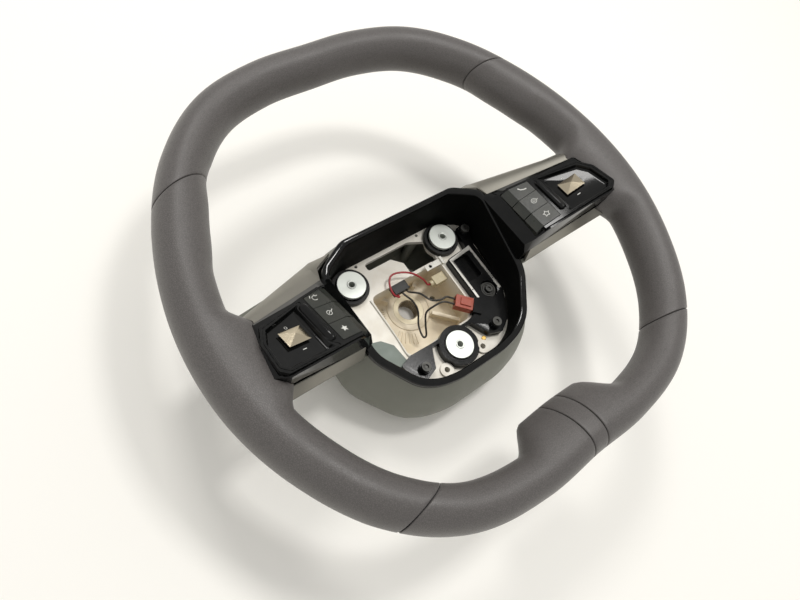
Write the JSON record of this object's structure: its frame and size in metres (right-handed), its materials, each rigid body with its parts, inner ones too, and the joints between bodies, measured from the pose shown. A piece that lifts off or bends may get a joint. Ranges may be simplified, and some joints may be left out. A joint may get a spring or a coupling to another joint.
{
  "type": "steering wheel",
  "caption": "Two-spoke car steering wheel with a squarish padded rim and an open hub showing its casting, horn mounts, switch pads and leads.",
  "frame": {"origin": "centre of the column bore's back face", "axes": "+Z along the steering axis towards the driver, +Y to 12 o'clock, +X to the driver's right"},
  "size_m": [0.3748, 0.3632, 0.1341],
  "materials": {
    "casting": "bright cast",
    "core": "plain tube",
    "bush": "oiled",
    "foam": "moulded foam",
    "leather": "fine grain",
    "cover": "fine grain",
    "gloss": "polished",
    "satin": "satin",
    "board": "circuit board",
    "gimbal": "moulded",
    "toggle": "satin champagne",
    "key": "fine matte",
    "seat": "moulded",
    "zinc": "zinc plated",
    "wire": "drawn",
    "frame": "moulded",
    "strip": "bright",
    "screw": "dull zinc",
    "brass": "plain",
    "red_plastic": "moulded",
    "clear_plastic": "milky",
    "black_plastic": "moulded",
    "red_wire": "sleeved",
    "black_wire": "sleeved"
  },
  "bodies": {
    "wheel": {"armature": "casting", "rim_core": "core", "column_bush": "bush", "rim_foam": "foam", "skin_top": "leather", "skin_left": "leather", "skin_right": "leather", "skin_lower_left": "leather", "skin_lower_right": "leather", "skin_band": "leather", "rear_cover": "cover", "hub_bezel": "gloss", "upper_trim_left": "satin", "upper_trim_right": "satin", "lower_trim_left": "satin", "lower_trim_right": "satin", "switch_housing_left": "gloss", "switch_housing_right": "gloss", "switch_board_left": "board", "switch_board_right": "board", "mount_seats": "seat", "mount_spring_left": "wire", "mount_spring_right": "wire", "mount_spring_low": "wire", "horn_frame": "frame", "contact_strip": "strip", "horn_contact": "screw", "frame_screws": "screw", "ground_rivet": "brass", "cover_screws": "screw", "ground_terminal": "strip", "red_plug": "red_plastic", "clear_plug": "clear_plastic", "lead_plug": "black_plastic", "red_lead": "red_wire", "black_lead": "black_wire", "horn_lead": "black_wire"},
    "gimbal_left": {"gimbal_left": "gimbal"},
    "gimbal_right": {"gimbal_right": "gimbal"},
    "toggle_left": {"toggle_left": "toggle"},
    "toggle_right": {"toggle_right": "toggle"},
    "key_top_left": {"key_top_left": "key"},
    "key_mid_left": {"key_mid_left": "key"},
    "key_low_left": {"key_low_left": "key"},
    "key_top_right": {"key_top_right": "key"},
    "key_mid_right": {"key_mid_right": "key"},
    "key_low_right": {"key_low_right": "key"},
    "mount_disc_left": {"mount_disc_left": "zinc"},
    "mount_disc_right": {"mount_disc_right": "zinc"},
    "mount_disc_low": {"mount_disc_low": "zinc"}
  },
  "joints": [
    {"name": "toggle_left_tilt", "type": "hinge", "parent": "wheel", "child": "gimbal_left", "pos_m": [-0.12775, -0.00199, 0.11494], "axis": [-0.085, 0.9664, -0.2427], "range_deg": [-4, 4], "stiffness_Nm_per_rad": 0.12},
    {"name": "toggle_left_rock", "type": "hinge", "parent": "gimbal_left", "child": "toggle_left", "pos_m": [-0.12775, -0.00199, 0.11494], "axis": [-0.9438, 0, 0.3305], "range_deg": [-4, 4], "stiffness_Nm_per_rad": 0.12},
    {"name": "key_top_left_press", "type": "slide", "parent": "wheel", "child": "key_top_left", "axis": [-0.3194, -0.2571, -0.9121], "range_m": [0, 0.0012], "stiffness_N_per_m": 600},
    {"name": "key_mid_left_press", "type": "slide", "parent": "wheel", "child": "key_mid_left", "axis": [-0.3194, -0.2571, -0.9121], "range_m": [0, 0.0012], "stiffness_N_per_m": 600},
    {"name": "key_low_left_press", "type": "slide", "parent": "wheel", "child": "key_low_left", "axis": [-0.3194, -0.2571, -0.9121], "range_m": [0, 0.0012], "stiffness_N_per_m": 600},
    {"name": "toggle_right_tilt", "type": "hinge", "parent": "wheel", "child": "gimbal_right", "pos_m": [0.12775, -0.00199, 0.11494], "axis": [0.085, 0.9664, -0.2427], "range_deg": [-4, 4], "stiffness_Nm_per_rad": 0.12},
    {"name": "toggle_right_rock", "type": "hinge", "parent": "gimbal_right", "child": "toggle_right", "pos_m": [0.12775, -0.00199, 0.11494], "axis": [0.9438, 0, 0.3305], "range_deg": [-4, 4], "stiffness_Nm_per_rad": 0.12},
    {"name": "key_top_right_press", "type": "slide", "parent": "wheel", "child": "key_top_right", "axis": [0.3194, -0.2571, -0.9121], "range_m": [0, 0.0012], "stiffness_N_per_m": 600},
    {"name": "key_mid_right_press", "type": "slide", "parent": "wheel", "child": "key_mid_right", "axis": [0.3194, -0.2571, -0.9121], "range_m": [0, 0.0012], "stiffness_N_per_m": 600},
    {"name": "key_low_right_press", "type": "slide", "parent": "wheel", "child": "key_low_right", "axis": [0.3194, -0.2571, -0.9121], "range_m": [0, 0.0012], "stiffness_N_per_m": 600},
    {"name": "mount_disc_left_press", "type": "slide", "parent": "wheel", "child": "mount_disc_left", "axis": [0, 0, -1], "range_m": [0, 0.0016], "stiffness_N_per_m": 3000, "deforming": ["mount_spring_left"]},
    {"name": "mount_disc_right_press", "type": "slide", "parent": "wheel", "child": "mount_disc_right", "axis": [0, 0, -1], "range_m": [0, 0.0016], "stiffness_N_per_m": 3000, "deforming": ["mount_spring_right"]},
    {"name": "mount_disc_low_press", "type": "slide", "parent": "wheel", "child": "mount_disc_low", "axis": [0, 0, -1], "range_m": [0, 0.0016], "stiffness_N_per_m": 3000, "deforming": ["mount_spring_low"]}
  ]
}
